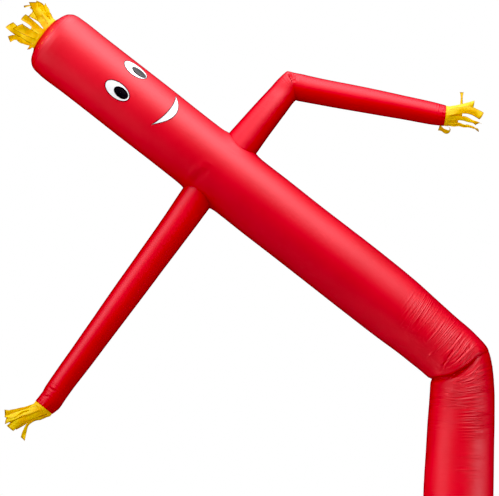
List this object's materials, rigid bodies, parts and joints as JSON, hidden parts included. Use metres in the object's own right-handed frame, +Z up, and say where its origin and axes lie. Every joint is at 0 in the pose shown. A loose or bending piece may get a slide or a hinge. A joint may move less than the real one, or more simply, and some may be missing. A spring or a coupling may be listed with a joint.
{
  "type": "inflatable air dancer",
  "caption": "Sewn nylon tube figure bent at the waist as air from below throws it about, with sleeves flung out, fringed head and hands, and a patched smiling face.",
  "frame": {"origin": "centre of the open bottom mouth, where the leg sleeve ends", "axes": "+Z up along the leg, -Y the front, which the face looks towards, -X the side that the head is thrown over to"},
  "size_m": [3.1844, 0.7661, 5.0345],
  "materials": {
    "red_nylon": "smooth sheen",
    "yellow_nylon": "smooth sheen",
    "white_nylon": "smooth sheen",
    "black_nylon": "smooth sheen"
  },
  "bodies": {
    "root": {"body_tube": "red_nylon", "head_cap": "red_nylon", "arm_left": "red_nylon", "arm_right": "red_nylon", "hair_fringe": "yellow_nylon", "left_hand_fringe": "yellow_nylon", "right_hand_fringe": "yellow_nylon", "eye_white_left": "white_nylon", "eye_white_right": "white_nylon", "pupil_left": "black_nylon", "pupil_right": "black_nylon", "smile": "white_nylon"}
  },
  "joints": []
}
